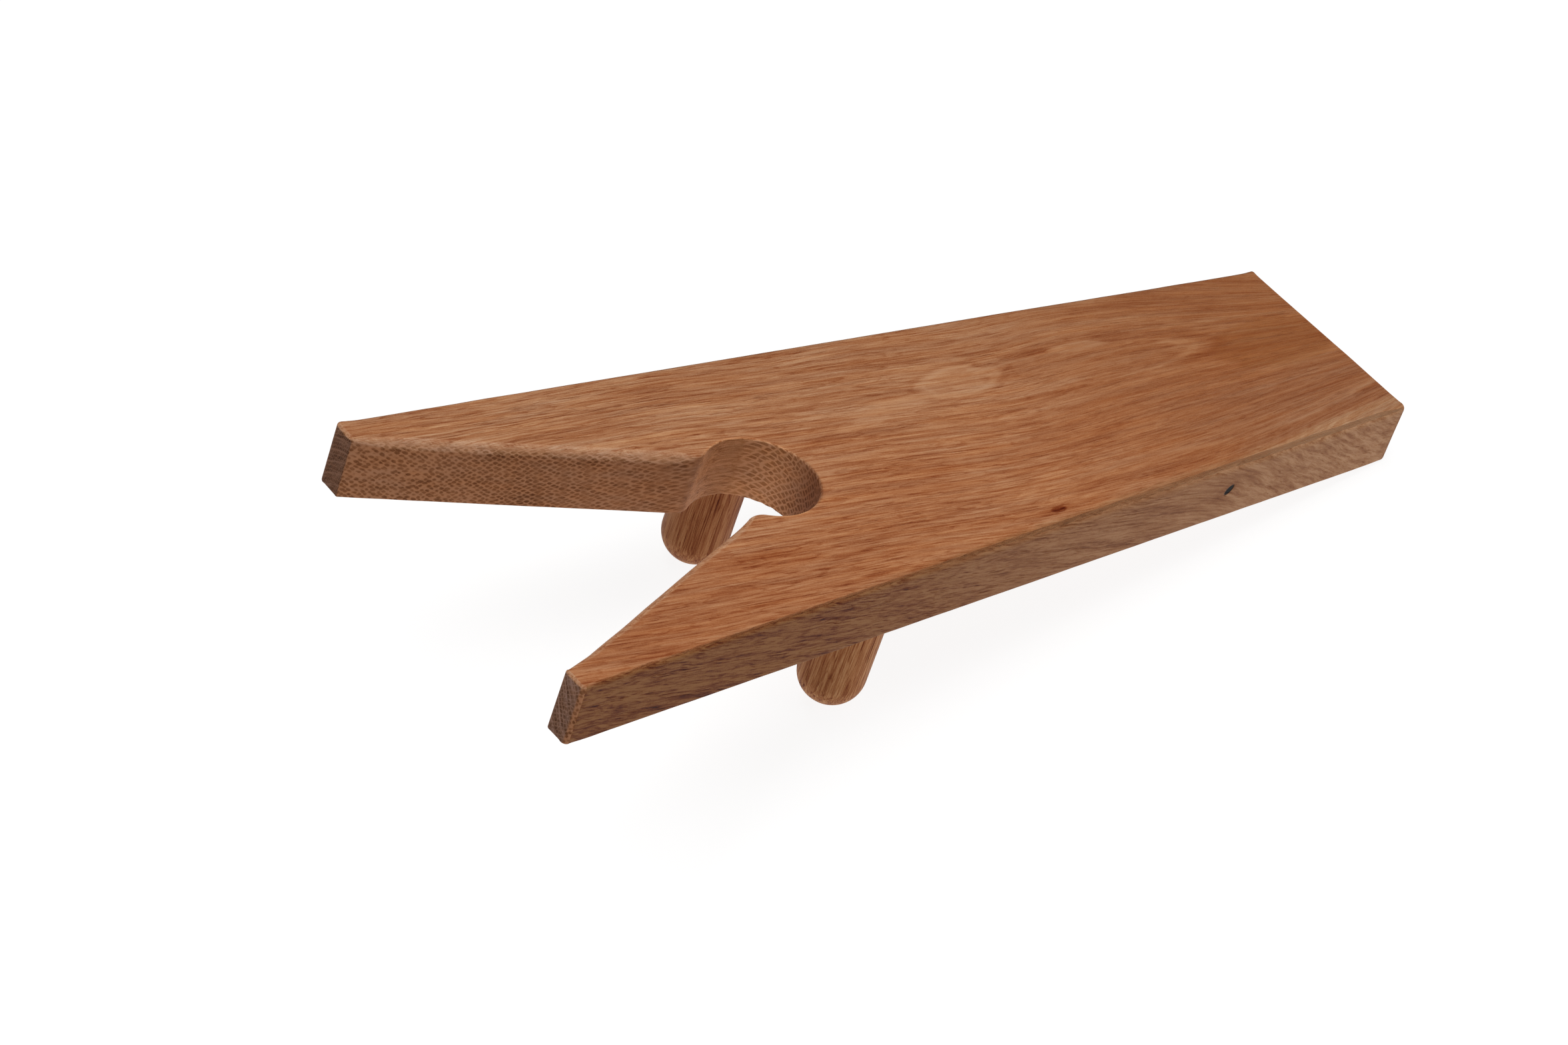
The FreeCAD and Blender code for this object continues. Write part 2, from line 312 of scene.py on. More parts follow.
def fill(ring, holes, spacing, spots=()):
    """Triangles inside a ring and outside holes, with grid points between.

    Each spot is an area with finer triangles: its centre, half its sides and its spacing.
    """
    points = [Vector(p) for p in ring]
    faces = [list(range(len(ring)))]
    for hole in holes:
        faces.append(list(range(len(points), len(points) + len(hole))))
        points += [Vector(p) for p in hole]
    xs, ys = [p[0] for p in ring], [p[1] for p in ring]
    near = {}

    def cell(x, y):
        return round(x / CELL), round(y / CELL)

    def note(x, y):
        near.setdefault(cell(x, y), []).append((x, y))

    def add(x, y, gap):
        cx, cy = cell(x, y)
        if all((x - px) ** 2 + (y - py) ** 2 > gap * gap
               for i in (-1, 0, 1) for j in (-1, 0, 1)
               for px, py in near.get((cx + i, cy + j), ())):
            points.append(Vector((x, y)))
            note(x, y)

    for point in points:
        note(*point)

    for cx, cy, half_x, half_y, fine in spots:
        for i in range(-int(half_x / fine), int(half_x / fine) + 1):
            for j in range(-int(half_y / fine), int(half_y / fine) + 1):
                add(cx + i * fine, cy + j * fine, fine * 0.6)
    rows = int((max(ys) - min(ys)) / (spacing * ROW_PITCH)) + 1
    for j in range(rows):
        y = min(ys) + j * spacing * ROW_PITCH
        x = min(xs) + (j % 2) * spacing / 2
        while x < max(xs):
            add(x, y, spacing * CLEARANCE)
            x += spacing
    found = geometry.delaunay_2d_cdt(points, [], faces, 0, 1e-5, True)
    verts, triangles, origin, owner = found[0], found[2], found[3], found[5]
    kept = [t for t, o in zip(triangles, owner) if list(o) == [0]]
    return verts, kept, origin


def board_mesh():
    """The board as rings down its edges, with both faces filled and the two sockets."""
    samples = board_outline()
    ease_edges(samples)
    count = len(samples)
    verts, faces = [], []

    def add_ring(points):
        start = len(verts)
        verts.extend(points)
        return start

    rings = []
    for step in range(TOP_EASING_STEPS + 1):
        angle = math.pi / 2 * step / TOP_EASING_STEPS
        rings.append(add_ring([
            sanded((s.x - s.nx * s.top * (1 - math.sin(angle)),
                    s.y - s.ny * s.top * (1 - math.sin(angle)),
                    THICKNESS - s.top * (1 - math.cos(angle))),
                   (s.nx * math.sin(angle), s.ny * math.sin(angle), math.cos(angle)))
            for s in samples]))
    for row in range(1, WALL_ROWS):
        share = row / WALL_ROWS
        rings.append(add_ring([
            sanded((s.x, s.y, (THICKNESS - s.top) * (1 - share) + s.under * share),
                   (s.nx, s.ny, 0.0)) for s in samples]))
    for step in range(UNDER_EASING_STEPS + 1):
        angle = math.pi / 2 * (1 - step / UNDER_EASING_STEPS)
        rings.append(add_ring([
            sanded((s.x - s.nx * s.under * (1 - math.sin(angle)),
                    s.y - s.ny * s.under * (1 - math.sin(angle)),
                    s.under * (1 - math.cos(angle))),
                   (s.nx * math.sin(angle), s.ny * math.sin(angle), -math.cos(angle)))
            for s in samples]))
    for upper, lower in zip(rings, rings[1:]):
        for i in range(count):
            j = (i + 1) % count
            faces.append((upper + i, lower + i, lower + j, upper + j))

    def add_fill(ring_start, edge, z, normal, holes, spacing, spots=()):
        found, triangles, origin = fill(inset_ring(samples, edge), holes, spacing, spots)
        index, hole_index = {}, {}
        for i, point in enumerate(found):
            source = origin[i][0] if origin[i] else None
            if source is not None and source < count:
                index[i] = ring_start + source
            else:
                index[i] = len(verts)
                verts.append(sanded((point.x, point.y, z), normal))
                if source is not None:
                    hole_index[source - count] = index[i]
        for a, b, c in triangles:
            face = (index[a], index[b], index[c])
            faces.append(face if normal[2] > 0 else face[::-1])
        return hole_index

    add_fill(rings[0], "top", THICKNESS, (0, 0, 1), [], TOP_SPACING, [PIN_KNOT + KNOT_PATCH])
    circle = [(math.cos(2 * math.pi * k / SOCKET_SIDES), math.sin(2 * math.pi * k / SOCKET_SIDES))
              for k in range(SOCKET_SIDES)]
    bore = LEG_RADIUS + SOCKET_GAP
    mouth = bore + SOCKET_CHAMFER
    holes = [[(LEG_X + mouth * c, side * LEG_Y + mouth * s) for c, s in circle]
             for side in (-1, 1)]
    edge_of = add_fill(rings[-1], "under", 0.0, (0, 0, -1), holes, UNDER_SPACING)

    # Each socket: a small chamfer, its wall and its flat end.
    end = SOCKET_DEPTH + 0.1
    for number, side in enumerate((-1, 1)):
        loop = [edge_of[number * SOCKET_SIDES + k] for k in range(SOCKET_SIDES)]
        for radius, z in ((bore, SOCKET_CHAMFER), (bore, 4.0), (bore, 8.5), (bore, end),
                          (LEG_RADIUS * 0.5, end)):
            start = add_ring([(LEG_X + radius * c, side * LEG_Y + radius * s, z)
                              for c, s in circle])
            for k in range(SOCKET_SIDES):
                n = (k + 1) % SOCKET_SIDES
                faces.append((loop[k], loop[n], start + n, start + k))
            loop = list(range(start, start + SOCKET_SIDES))
        centre = add_ring([(LEG_X, side * LEG_Y, end)])
        for k in range(SOCKET_SIDES):
            faces.append((loop[k], loop[(k + 1) % SOCKET_SIDES], centre))
    return verts, faces


LEG_SIDES = 96
BALL_ROWS = 20
LEG_ROWS = 34
LEG_SANDED, LEG_WAVES = 0.05, 0.09
SANDING_FADE = 8.0    # height over which the sanding fades out below the board


def leg_mesh(side):
    """A dowel with a ball end, turned and then sanded by hand; side is -1 near, 1 far."""
    profile = []
    for i in range(1, BALL_ROWS + 1):
        angle = math.pi / 2 * i / BALL_ROWS
        profile.append((LEG_RADIUS * math.sin(angle),
                        -LEG_REACH + LEG_RADIUS * (1 - math.cos(angle))))
    straight = -LEG_REACH + LEG_RADIUS
    for i in range(1, LEG_ROWS + 1):
        profile.append((LEG_RADIUS, straight + (SOCKET_DEPTH - 1 - straight) * i / LEG_ROWS))
    profile.append((LEG_RADIUS - 0.5, SOCKET_DEPTH - 0.4))
    profile.append((LEG_RADIUS - 1.0, SOCKET_DEPTH))
    profile.append((LEG_RADIUS * 0.5, SOCKET_DEPTH))
    verts = [(LEG_X, side * LEG_Y, -LEG_REACH)]
    for radius, z in profile:
        for k in range(LEG_SIDES):
            angle = 2 * math.pi * k / LEG_SIDES
            c, s = math.cos(angle), math.sin(angle)
            low = max(0.0, min(1.0, (-1.0 - z) / SANDING_FADE))
            waves = LEG_WAVES * wobble(c * 9, s * 9, z * 0.5, 7, 20.0 + side)
            off = low * max(0.0, LEG_SANDED + waves)
            r = radius - off * (radius / LEG_RADIUS)
            verts.append((LEG_X + r * c, side * LEG_Y + r * s, z))
    faces = [(0, 1 + (k + 1) % LEG_SIDES, 1 + k) for k in range(LEG_SIDES)]
    for row in range(len(profile) - 1):
        for k in range(LEG_SIDES):
            n = (k + 1) % LEG_SIDES
            a, b = 1 + row * LEG_SIDES, 1 + (row + 1) * LEG_SIDES
            faces.append((a + k, a + n, b + n, b + k))
    verts.append((LEG_X, side * LEG_Y, SOCKET_DEPTH))
    last = 1 + (len(profile) - 1) * LEG_SIDES
    for k in range(LEG_SIDES):
        faces.append((last + k, last + (k + 1) % LEG_SIDES, len(verts) - 1))
    return verts, faces


def add_piece(name, verts, faces, material):
    mesh = bpy.data.meshes.new(name)
    mesh.from_pydata([PLACE @ Vector(v) for v in verts], [], faces)
    mesh.validate()
    mesh.shade_smooth()
    mesh.materials.append(material)
    piece = bpy.data.objects.new(name, mesh)
    bpy.context.scene.collection.objects.link(piece)
    return piece


# ------------------------------------------------------------------- shader building

# How steeply green and blue follow a change of lightness: on cut faces, on the upper one.
GREEN_POWER = (1.30, 1.85)
BLUE_POWER = (1.75, 2.50)

# Limits of that change.
DARKEST, LIGHTEST = 0.05, 1.36


class Field:
    """A shader value that arithmetic adds nodes to."""

    def __init__(self, graph, socket):
        self.graph, self.socket = graph, socket

    def __add__(self, other): return self.graph.math("ADD", self, other)
    def __radd__(self, other): return self.graph.math("ADD", other, self)
    def __sub__(self, other): return self.graph.math("SUBTRACT", self, other)
    def __rsub__(self, other): return self.graph.math("SUBTRACT", other, self)
    def __mul__(self, other): return self.graph.math("MULTIPLY", self, other)
    def __rmul__(self, other): return self.graph.math("MULTIPLY", other, self)
    def __truediv__(self, other): return self.graph.math("DIVIDE", self, other)
    def __neg__(self): return self.graph.math("MULTIPLY", self, -1.0)


class Graph:
    """Makes the nodes of one material."""

    def __init__(self, name):
        self.material = bpy.data.materials.new(name)
        self.material.use_nodes = True
        self.tree = self.material.node_tree
        self.tree.nodes.clear()

    def node(self, kind, inputs=None, **settings):
        node = self.tree.nodes.new(kind)
        for key, value in settings.items():
            setattr(node, key, value)
        for key, value in (inputs or {}).items():
            self.feed(node.inputs[key], value)
        return node

    def feed(self, socket, value):
        if isinstance(value, Field):
            self.tree.links.new(value.socket, socket)
        elif isinstance(value, bpy.types.NodeSocket):
            self.tree.links.new(value, socket)
        else:
            socket.default_value = value

    def math(self, operation, *values):
        node = self.node("ShaderNodeMath", operation=operation)
        for socket, value in zip(node.inputs, values):
            self.feed(socket, value)
        return Field(self, node.outputs[0])

    def root(self, value): return self.math("SQRT", value)
    def size(self, value): return self.math("ABSOLUTE", value)
    def fraction(self, value): return self.math("FRACT", value)
    def most(self, a, b): return self.math("MAXIMUM", a, b)
    def bell(self, value): return self.math("EXPONENT", -(value * value))

    def rise(self, low, high, value):
        """0 below low, 1 above high, smooth between; falls when low is above high."""
        node = self.node("ShaderNodeMapRange", {"Value": value, "From Min": low, "From Max": high},
                         interpolation_type="SMOOTHSTEP")
        return Field(self, node.outputs["Result"])

    def blend(self, a, b, share):
        return a + (b - a) * share

    def vector(self, x, y, z):
        node = self.node("ShaderNodeCombineXYZ", {"X": x, "Y": y, "Z": z})
        return Field(self, node.outputs[0])

    def noise(self, where, detail=2.0, roughness=0.5):
        node = self.node("ShaderNodeTexNoise",
                         {"Vector": where, "Scale": 1.0, "Detail": detail,
                          "Roughness": roughness})
        return Field(self, node.outputs[0])

    def cells(self, where, feature="F1", randomness=1.0):
        node = self.node("ShaderNodeTexVoronoi",
                         {"Vector": where, "Scale": 1.0, "Randomness": randomness},
                         feature=feature)
        return Field(self, node.outputs["Distance"])

    def tint(self, a, b, share):
        """From one colour to another; either may be a node's colour."""
        node = self.node("ShaderNodeMix", data_type="RGBA")
        self.feed(node.inputs["Factor"], share)
        for socket, value in zip([s for s in node.inputs if s.type == "RGBA"], (a, b)):
            self.feed(socket, value if isinstance(value, Field) else (*value, 1.0))
        return Field(self, next(s for s in node.outputs if s.type == "RGBA"))

    def shade(self, colour, gain, grey=0.0, depth=0.7):
        """Lightens or darkens oak. It gets redder as it darkens, the more so with depth."""
        gain = self.math("SMOOTH_MIN", self.most(gain, DARKEST), LIGHTEST, 0.25)
        gains = self.vector(
            gain * (1.0 - grey * 0.20),
            self.math("POWER", gain, self.blend(*GREEN_POWER, depth)),
            self.math("POWER", gain, self.blend(*BLUE_POWER, depth)) * (1.0 + grey * 0.36))
        node = self.node("ShaderNodeVectorMath", operation="MULTIPLY")
        self.feed(node.inputs[0], colour)
        self.feed(node.inputs[1], gains)
        return Field(self, node.outputs[0])

    def oval(self, x, y, centre, half_x, half_y, slope=0.0):
        """Squared distance from a point, 1 on an ellipse about it that climbs by slope."""
        u = (x - centre[0]) / half_x
        v = (y - centre[1] - (x - centre[0]) * slope) / half_y
        return u * u + v * v


OAK_GLOSS = 0.08


def linear(red, green, blue):
    """A display colour out of 255 as the shader's linear one."""
    return tuple(((c / 255 + 0.055) / 1.055) ** 2.4 for c in (red, green, blue))


def oak(g, x, across, radial, endness, early, slant=(0.0, 0.0), cut_slant=0.0, seed=0.0,
        boldness=1.0, fine=1.0, net=1.0, weave=1.0, pitch=0.75, netted=0.0):
    """How much lighter or darker than its mean oak is, its roughness and its height.

    x runs along the grain, across along the growth rings and radial through them.
    endness is 0 where the surface runs along the grain and 1 on end grain. The slants
    shift the pattern of either kind of face through the rings. boldness, fine, net and
    weave are the strengths of the streaks, of the dashes, of the cells of end grain and
    of its rays and rows. pitch is how far apart the cells are; netted is 1 where they touch.
    """
    around, through = across + seed, radial + seed * 0.7
    sway = (g.noise(g.vector(x / 17.0, around / 3.5, through / 3.5), 2.0) - 0.5) * 1.2
    a, r = around + slant[0] + sway, through + slant[1] + sway

    broad = g.noise(g.vector(x / 90.0, a / 8.0, r / 8.0), 2.0)
    streak = g.noise(g.vector(x / 44.0, a / 1.3, r / 1.3), 3.0, 0.55)
    thin = g.noise(g.vector(x / 19.0, a / 0.45, r / 0.45 + 9.0), 2.0, 0.6)
    grit = g.noise(g.vector(x / 0.5, around / 0.4, through / 0.4), 2.0, 0.6)

    # Vessels cut lengthwise: short dark dashes, crowded in the early wood, and long
    # flowing lines where rows of them meet the surface.
    crowd = g.noise(g.vector(x / 30.0, a / 2.2, r / 2.2 + 40.0), 2.0)
    crowd = g.rise(0.38, 0.58, crowd) * (0.45 + 0.55 * early)
    long_pore = g.rise(0.34, 0.20, g.cells(g.vector(x / 24.0, a / 0.6, r / 0.6)))
    short_pore = g.rise(0.32, 0.18, g.cells(g.vector(x / 7.0 + 7.3, a / 0.5, r / 0.5 + 2.1)))
    pores = g.most(long_pore, short_pore * 0.8) * (0.30 + 0.70 * crowd)
    contour = g.fraction(g.noise(g.vector(x / 42.0, a / 3.4, r / 3.4 + 21.0), 1.0) * 9.0)
    flow = g.rise(0.60, 0.88, contour) * g.rise(1.0, 0.90, contour)
    lines = g.rise(0.50, 0.36, thin) * (0.45 + 0.55 * crowd)
    along = (1.03 + (broad - 0.5) * 0.36 + (grit - 0.5) * 0.42 + (early - 0.4) * 0.06
             + boldness * (streak - 0.5) * 0.80
             + fine * ((thin - 0.5) * 0.78 + 0.05 - flow * 0.14 - lines * 0.12 - pores * 0.22))

    # Vessels and rays cut across: dark spots in a lighter ground, or a light net.
    c = through + cut_slant
    warp = (g.noise(g.vector(x / 34.0, around / 3.0, c / 3.0), 2.0) - 0.5) * 1.2
    mesh = g.vector(x / 400.0, around / pitch + warp, c / 1.35 - warp * 0.4)
    rim = g.cells(mesh, "DISTANCE_TO_EDGE", randomness=0.35)
    middle = g.cells(mesh, "F1", randomness=0.45)
    faint = g.noise(g.vector(x / 9.0, around / 0.8, c / 0.8 + 5.0), 2.0) - 0.5
    spot = g.rise(0.60, 0.28, middle + faint * 0.6)
    cell = g.blend(spot, g.rise(0.0, 0.27, rim + faint * 0.10), netted)
    ray = g.noise(g.vector(x / 60.0, around / 0.30, c / 7.0), 1.0)
    bands = g.noise(g.vector(x / 50.0, around / 5.0, c / 0.8), 2.0)
    stripes = g.noise(g.vector(x / 60.0, (around + c * 0.4) / 1.3, c / 9.0), 1.0)
    cut = (1.0 - net * (cell - 0.5) * (0.46 + 0.12 * early)
           + weave * ((ray - 0.5) * 0.40 + (bands - 0.5) * 0.60 + (stripes - 0.5) * 0.55)
           + (grit - 0.5) * 0.50 + (broad - 0.5) * 0.36)

    share = g.rise(0.04, 0.30, endness)
    gain = g.blend(along, cut, share)
    height = g.blend((thin - 0.5) * 0.03 + (streak - 0.5) * 0.03 - pores * 0.08 - lines * 0.02,
                     (grit - 0.5) * 0.05 - cell * 0.04, share)
    rough = 0.52 + pores * 0.15 + share * 0.12 + (streak - 0.5) * 0.15
    return gain, rough, height


def finish_material(graph, colour, rough, height):
    """Plugs the three fields into a principled shader; height is in millimetres."""
    bump = graph.node("ShaderNodeBump", {"Strength": 1.0, "Distance": MM, "Height": height})
    shader = graph.node("ShaderNodeBsdfPrincipled",
                        {"Base Color": colour, "Roughness": rough,
                         "Normal": bump.outputs[0]})
    shader.inputs["Specular IOR Level"].default_value = OAK_GLOSS
    out = graph.node("ShaderNodeOutputMaterial")
    graph.tree.links.new(shader.outputs[0], out.inputs["Surface"])
    return graph.material


def board_coordinates(graph):
    """Position in the board's own frame in millimetres, and the surface normal there."""
    coordinates = graph.node("ShaderNodeTexCoord")
    place = graph.node("ShaderNodeMapping", {
        "Vector": coordinates.outputs["Object"],
        "Location": (BOARD_X * MM, 0.0, BOARD_Z * MM),
        "Rotation": (0.0, TILT, 0.0), "Scale": (MM, MM, MM)}, vector_type="TEXTURE")
    turn = graph.node("ShaderNodeMapping", {
        "Vector": coordinates.outputs["Normal"], "Rotation": (0.0, TILT, 0.0)},
        vector_type="TEXTURE")
    parts = []
    for source in (place, turn):
        split = graph.node("ShaderNodeSeparateXYZ", {"Vector": source.outputs[0]})
        parts.append([Field(graph, s) for s in split.outputs])
    return parts


RING_SPACING = 3.75
DOWEL_RING_SPACING = 2.9
PITH = (53.0, -65.0)    # y and z of the middle of the growth rings, below the board's far side
ARC = 88.0              # how many millimetres across the grain a radian about the pith is
GRAIN_SLANT = 0.095
SLANT_ENDS = 215.0
GATHER_FROM = 240.0

# Mean colours of the oak on the board's faces and on the dowels.
TOP_NEAR, TOP_FAR = linear(154, 100, 65), linear(153, 105, 72)
# The near side's colours are partly its wood and partly painted light: painted shade darkens the
# front one, and a painted sheen makes the rear one paler and greyer.
SIDE_FRONT_WOOD_AND_SHADE, SIDE_REAR_WOOD_AND_SHEEN = linear(120, 71, 36), linear(153, 107, 73)
CUT = linear(146, 96, 63)
BORE = linear(172, 117, 78)
# The hole's rear colour is painted shade: a darker copy of the bore's wood, put where the light
# leaves it in shade.
BORE_PAINTED_SHADE = linear(112, 68, 43)
TIP_NEAR, TIP_FAR = linear(123, 88, 69), linear(110, 74, 53)
# The eased edges' colour is sanded pale wood with a painted highlight on it.
EASED_PALE_AND_HIGHLIGHT = linear(166, 120, 88)
PATCH = linear(138, 84, 47)
REAR_NEAR = linear(144, 95, 64)
SAP = linear(158, 117, 85)
KNOT = linear(14, 9, 9)
DOWEL_NEAR, DOWEL_FAR = linear(168, 111, 69), linear(159, 101, 61)

# Marks in the upper face: centre in x and y, half length, half width, slope.
ISLAND = ((204, 19), 15, 6.0, 0.02)
CRESCENT = ((249, 13.5), 49, 8.6, -0.04)
CALM = ((328, 4), 28, 12.0)
PIN_HALO = (PIN_KNOT, 7.5, 1.8)
PIN_HEART = (PIN_KNOT, 3.0, 1.2)

# The same with how strong each one is, first the pale ones, then the deep ones.
PALE_MARKS = (
    (0.95, (173, 15.5), 20, 2.6, 0.03), (0.6, (158, 11.0), 11, 2.0, 0.05),
    (1.0, (257, 22), 13, 2.3, -0.03), (0.8, (295, 9.2), 3.4, 1.8),
    (0.2, (262, 12), 20, 2.2, -0.05), (0.45, (318, 13.5), 30, 1.1, -0.17),
    (0.5, (329, -6), 20, 1.3, 0.02), (0.35, (236, 37), 28, 1.4, -0.05),
    (0.3, (186, 30), 22, 1.3, -0.05), (0.3, (196, -8), 24, 1.2, 0.03))
DEEP_MARKS = (
    (0.85, (237, 23.5), 9, 2.4), (0.7, (272, 23), 8, 1.6, -0.2),
    (0.7, (250, 3.8), 22, 1.3, -0.03), (0.55, (163, -14), 13, 2.4, -0.12),
    (0.5, (308, 24), 8, 2.6))

# A pale line with a deep one beside it that sweeps in a shallow curve to the near rear corner.
SWEEP_X = 276.0
SWEEP_BEND = 0.0018
SWEEP_PALE_Y, SWEEP_DEEP_Y = 31.8, 34.2

# Marks in the near side: centre in x and z, half length, half height, slope.
SIDE_DUSK = ((266, 11), 15, 7)
SIDE_SHADE = ((237, 10), 13, 9)
SIDE_STAIN = ((266.5, 11), 5.0, 2.6, 0.3)
SIDE_KNOT = ((268.2, 11.4), 1.8, 1.55, 0.5)


def ring_bands(g, ring):
    """How far a point is through its growth ring, and its share of early wood."""
    phase = g.fraction(ring)
    return phase, g.rise(0.0, 0.15, phase) * g.rise(0.65, 0.30, phase)


def upper_figure(g, x, fx, fy):
    """The upper face's pale and deep marks; fx and fy are x and y made wavy."""
    island = g.root(g.oval(fx, fy, *ISLAND))
    crescent = g.root(g.oval(fx, fy, *CRESCENT))
    hollow = (x - SWEEP_X) * (x - SWEEP_X) * SWEEP_BEND
    sweep = g.rise(236.0, 262.0, x)

    def strongest(spots, marks):
        field = 0.0
        for spot in spots:
            field = g.most(field, spot)
        for strength, *shape in marks:
            field = g.most(field, strength * g.rise(1.5, 0.5, g.oval(fx, fy, *shape)))
        return field

    pale = strongest((0.65 * g.rise(1.15, 0.8, island), 1.1 * g.bell((island - 0.95) / 0.2),
                      0.85 * g.bell((crescent - 0.97) / 0.07) * g.rise(205.0, 240.0, x),
                      0.8 * sweep * g.bell((fy + SWEEP_PALE_Y - hollow) / 0.9)), PALE_MARKS)
    deep = strongest((0.5 * g.bell((island - 1.28) / 0.14),
                      0.85 * g.bell((crescent - 1.20) / 0.10) * g.rise(262.0, 296.0, x),
                      0.6 * sweep * g.bell((fy + SWEEP_DEEP_Y - hollow) / 0.8)), DEEP_MARKS)
    return pale, deep


def board_material():
    g = Graph("board_oak")
    (x, y, z), (nx, ny, nz) = board_coordinates(g)

    # How much a point belongs to each kind of face: end grain, the long sides, the upper
    # face, the hole, the tips, and those where the grain is cut across.
    endness = g.size(nx)
    outside = g.rise(30.0, 35.0, g.size(y))
    side = g.rise(0.25, 0.8, g.size(ny)) * g.rise(0.3, 0.1, endness) * outside
    top = g.rise(0.5, 0.9, nz)
    bore = g.rise(HOLE_RADIUS + 1.2, HOLE_RADIUS + 0.2,
                  g.root((x - HOLE_X) * (x - HOLE_X) + y * y))
    tip = g.rise(0.75, 0.97, endness) * (1.0 - bore)
    cut_share = g.blend(endness * g.rise(0.75, 0.35, nz), g.rise(0.2, 0.9, endness), bore)

    # The grain runs askew in front, converges towards the rear, and dives at the near edge
    # and at the far tip.
    drift = (g.noise(g.vector(x / 130.0, y / 70.0, z / 60.0), 1.0) - 0.5) * 9.0
    gather = g.most(x - GATHER_FROM, 0.0)
    askew = g.math("SMOOTH_MIN", x, SLANT_ENDS, 60.0) * GRAIN_SLANT * (1.0 - side)
    yy = (y + 6.0) * (1.0 + gather * gather * 0.00005) - 6.0 + askew - 10.0 + drift
    near = g.rise(-18.0, -34.0, y)
    dive_near = x * 0.19 + g.rise(250.0, 350.0, x) * 19.0
    level = g.most(1.0 - x / 95.0, 0.0)
    dive_far = -32.0 * level * level

    # Growth rings about the pith.
    outer = g.most(y - 42.0, 0.0)
    swell = (g.noise(g.vector(x / 80.0, y / 24.0, z / 24.0), 2.0) - 0.5) * 7.0
    ry, rz = yy - PITH[0], z - PITH[1]
    radius = g.root(ry * ry + rz * rz) + outer * outer * 0.02
    angle = g.math("ARCTAN2", ry, rz)
    phase, early = ring_bands(g, (radius + near * dive_near + swell) / RING_SPACING)
    line = g.rise(0.80, 0.92, phase) * g.rise(1.0, 0.94, phase)

    # Dark stripes across the wall of the mouth where the rings meet it.
    lean_out = g.blend(0.35, -0.6, g.rise(78.0, 92.0, x))
    bent = g.noise(g.vector(x / 20.0, z / 9.0, y / 20.0), 1.0)
    stripe = g.fraction((x + (z - THICKNESS / 2) * lean_out) / 8.4 + bent * 1.2)
    stripe = g.rise(0.60, 0.74, stripe) * g.rise(1.0, 0.88, stripe)
    stripe = stripe * g.rise(35.0, 60.0, x) * (1.0 - bore)

    # The wood itself, with how its streaks, dashes and net vary over the board.
    lean = side * dive_near
    braid = g.blend(0.25, 1.15, g.rise(108.0, 126.0, x))
    mid = g.rise(105.0, 140.0, x) * (1.0 - side)
    far = g.rise(170.0, 280.0, x) * (1.0 - side)
    soft_side = g.rise(190.0, 290.0, x) * side
    wall_net = 1.30 + 0.30 * g.rise(25.0, 60.0, x) - 0.9 * stripe
    gain, rough, height = oak(g, x, angle * ARC, radius, cut_share, early,
                              slant=(lean * 0.56, lean * 0.59), cut_slant=dive_far,
                              boldness=1.1 - mid * 0.1 - far * 0.15 + soft_side * 0.7,
                              fine=1.15 - mid * 0.1 - far * 0.45 - soft_side * 0.6,
                              net=g.blend(wall_net, braid * 1.35, bore) - 0.4 * tip,
                              weave=1.0 + 0.5 * tip - 0.2 * bore,
                              pitch=g.blend(0.75, 1.75, bore),
                              netted=g.most(g.rise(20.0, 50.0, x) * 0.45, g.most(bore, tip)))
    crossing = g.rise(0.1, 0.3, cut_share) * (1.0 - tip)
    gain = gain + crossing * (0.05 + 0.15 * g.rise(50.0, 80.0, x) - stripe * 0.10)

    # Figure of the upper face.
    wave = g.noise(g.vector(x / 13.0, y / 4.5, 3.0), 2.0) - 0.5
    ripple = g.noise(g.vector(x / 4.0, y / 1.6, 8.0), 2.0) - 0.5
    fx, fy = x + wave * 14.0 + ripple * 4.0, y + wave * 3.2 + ripple * 1.1
    pale, deep = upper_figure(g, x, fx, fy)
    calm = g.rise(1.25, 0.75, g.oval(fx, fy, *CALM))
    rear = g.most(calm, g.rise(200.0, 330.0, x) * 0.55)
    still = g.most(pale * 0.6, calm * 0.6) * top
    gain = g.blend(gain, 1.0 + (gain - 1.0) * 0.5, still)
    cloud = g.rise(150.0, 230.0, x) * top
    gain = gain - top * g.bell((x - 155.0) / 35.0) * 0.04
    gain = gain + top * (pale * 0.22 - deep * 0.15) - line * 0.02
    gain = gain + cloud * (wave * 0.14 + ripple * 0.12)
    gain = gain * (1.0 - top * (0.03 + 0.09 * g.rise(-18.0, -36.0, y) * g.rise(150.0, 70.0, x)
                                + 0.07 * g.rise(185.0, 280.0, x)))

    # Colours of the faces. The near side's sapwood creeps over its upper edge.
    base = g.tint(TOP_NEAR, TOP_FAR, g.rise(-25.0, 50.0, y))
    base = g.tint(base, PATCH, rear * 0.8)
    base = g.tint(base, REAR_NEAR, g.rise(-3.0, -14.0, y) * g.rise(240.0, 310.0, x))
    # Painted light on the near side: darker at the front as painted shade, paler and greyer
    # towards the rear as a painted sheen, on top of the wood's own change.
    flank_wood_and_light = g.tint(SIDE_FRONT_WOOD_AND_SHADE, SIDE_REAR_WOOD_AND_SHEEN, g.rise(50.0, 335.0, x))
    base = g.tint(base, flank_wood_and_light, side)
    inward = y + FRONT_WIDTH / 2 - x * (FRONT_WIDTH - REAR_WIDTH) / 2 / LENGTH
    creep = g.rise(3.4, 1.6, inward + wave * 3.0 + ripple * 3.0 - g.rise(150.0, 320.0, x) * 1.6
                   - g.rise(285.0, 335.0, x) * 2.6)
    creep = creep * g.rise(90.0, 170.0, x) * top
    sappy = g.rise(240.0, 310.0, x)
    base = g.tint(base, g.tint(flank_wood_and_light, SAP, sappy), creep * 0.8)
    gain = gain + creep * sappy * 0.03
    base = g.tint(base, CUT, g.rise(0.10, 0.34, endness))
